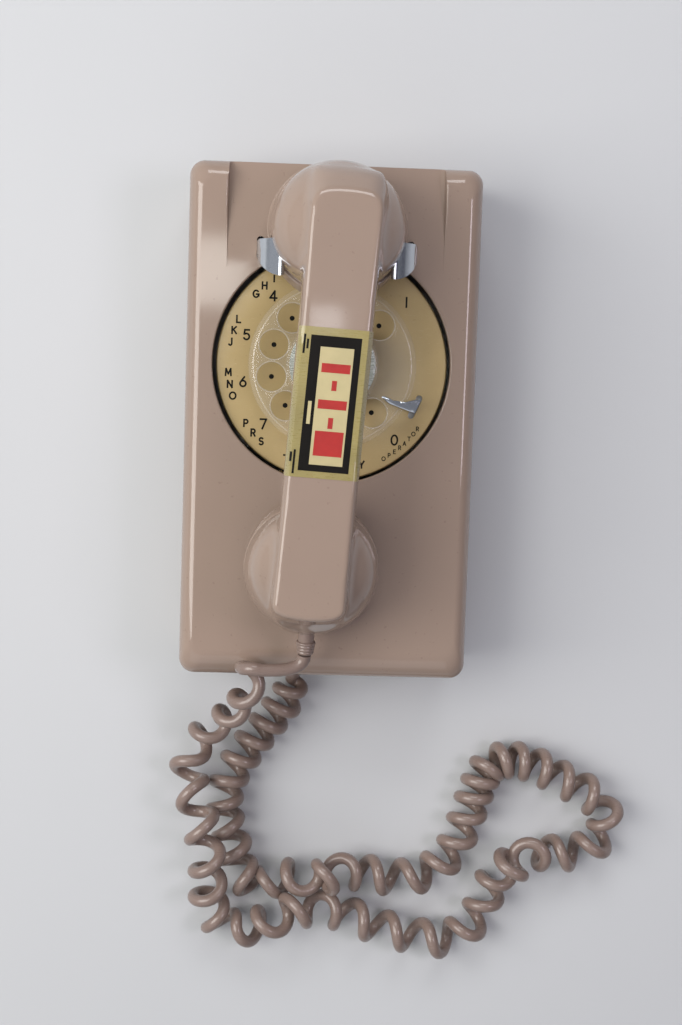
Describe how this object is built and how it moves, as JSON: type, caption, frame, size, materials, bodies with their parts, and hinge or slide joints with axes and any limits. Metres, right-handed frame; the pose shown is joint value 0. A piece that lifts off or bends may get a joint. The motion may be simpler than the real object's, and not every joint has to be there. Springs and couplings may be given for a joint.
{
  "type": "rotary wall phone",
  "caption": "Wall telephone with a round dial, clear finger wheel, chrome hook prongs, hung handset and a curly cord between the handset and the housing.",
  "frame": {"origin": "centre of the housing's outline on the wall plane, at the back face of the base plate", "axes": "+Z out of the wall, +Y up the wall towards the ear cap, +X to the right as seen from the front; the phone lies on its back with its cord on the same plane"},
  "size_m": [0.2305, 0.3899, 0.1266],
  "materials": {
    "shell": "satin gloss, rose beige, aged",
    "clear": "clear acrylic, slightly aged",
    "plate": "cream enamel with printed characters",
    "chrome": "polished, lightly worn",
    "steel": "zinc plated",
    "brass": "satin",
    "dark_plastic": "moulded, black",
    "card": "printed card",
    "label": "aged adhesive label",
    "rubber": "soft, matt",
    "cord": "soft vinyl cord",
    "coil": "varnished winding"
  },
  "bodies": {
    "phone_base": {"base_plate": "steel", "cover": "shell", "cover_screw": "steel", "number_plate": "plate", "dial_frame": "steel", "dial_front_plate": "brass", "dial_bracket": "steel", "dial_screws": "steel", "finger_stop": "chrome", "pulse_contacts": "dark_plastic", "governor_drum": "brass", "dial_spring": "steel", "network_block": "dark_plastic", "network_terminals": "brass", "ringer_frame": "steel", "ringer_coil": "coil", "gong_high": "brass", "gong_low": "brass", "gong_screws": "steel", "hook_bracket": "steel", "hook_pivot_pin": "steel", "hook_spring": "steel", "hook_contacts": "dark_plastic", "cord_strain_relief": "rubber", "curly_cord": "cord", "cord_lead": "cord"},
    "finger_wheel": {"finger_wheel": "clear", "dial_shaft": "steel", "dial_main_gear": "brass", "number_card": "card", "card_retainer": "clear"},
    "pulse_shaft": {"pulse_shaft": "steel", "pulse_gear": "brass", "pulse_cam": "dark_plastic"},
    "governor": {"governor_shaft": "steel", "governor_weights": "brass"},
    "hook_lever": {"hook_lever": "chrome"},
    "clapper": {"clapper_armature": "steel", "clapper_ball": "brass"},
    "loudness_wheel": {"volume_wheel": "dark_plastic"},
    "handset": {"handset_body": "shell", "ear_cap": "shell", "receiver_capsule": "steel", "mouth_cap": "shell", "transmitter_cup": "dark_plastic", "transmitter_capsule": "steel", "handset_label": "label", "handset_bushing": "rubber"}
  },
  "joints": [
    {"name": "dial_turn", "type": "hinge", "parent": "phone_base", "child": "finger_wheel", "pos_m": [0, 0.027, 0.066], "axis": [0, 0, -1], "range_deg": [0, 335], "stiffness_Nm_per_rad": 0.004, "springref_deg": -114.59},
    {"name": "pulse_turn", "type": "hinge", "parent": "phone_base", "child": "pulse_shaft", "pos_m": [-0.02009, 0.0386, 0.035], "axis": [0, 0, -1], "range_deg": [-1508.5, 0]},
    {"name": "governor_turn", "type": "hinge", "parent": "phone_base", "child": "governor", "pos_m": [-0.01476, 0.04862, 0.035], "axis": [0, 0, -1], "range_deg": [0, 6031]},
    {"name": "handset_lift", "type": "slide", "parent": "phone_base", "child": "handset", "axis": [0, 0.995, 0.0995], "range_m": [0, 0.1]},
    {"name": "hook_pivot", "type": "hinge", "parent": "phone_base", "child": "hook_lever", "pos_m": [0, 0.081, 0.016], "axis": [-1, 0, 0], "range_deg": [0, 3.5]},
    {"name": "clapper_swing", "type": "hinge", "parent": "phone_base", "child": "clapper", "pos_m": [0, -0.068, 0.015], "axis": [0, 0, 1], "range_deg": [-8, 8], "stiffness_Nm_per_rad": 0.002},
    {"name": "loudness_turn", "type": "hinge", "parent": "phone_base", "child": "loudness_wheel", "pos_m": [0.036, -0.1084, 0.009], "axis": [0, 0, 1], "range_deg": [-135, 135]}
  ],
  "couplings": [
    {"joint": "pulse_turn", "follows": "dial_turn", "ratio": -4.5},
    {"joint": "governor_turn", "follows": "dial_turn", "ratio": 18},
    {"joint": "hook_pivot", "follows": "handset_lift", "rad_per_m": 0.6}
  ]
}
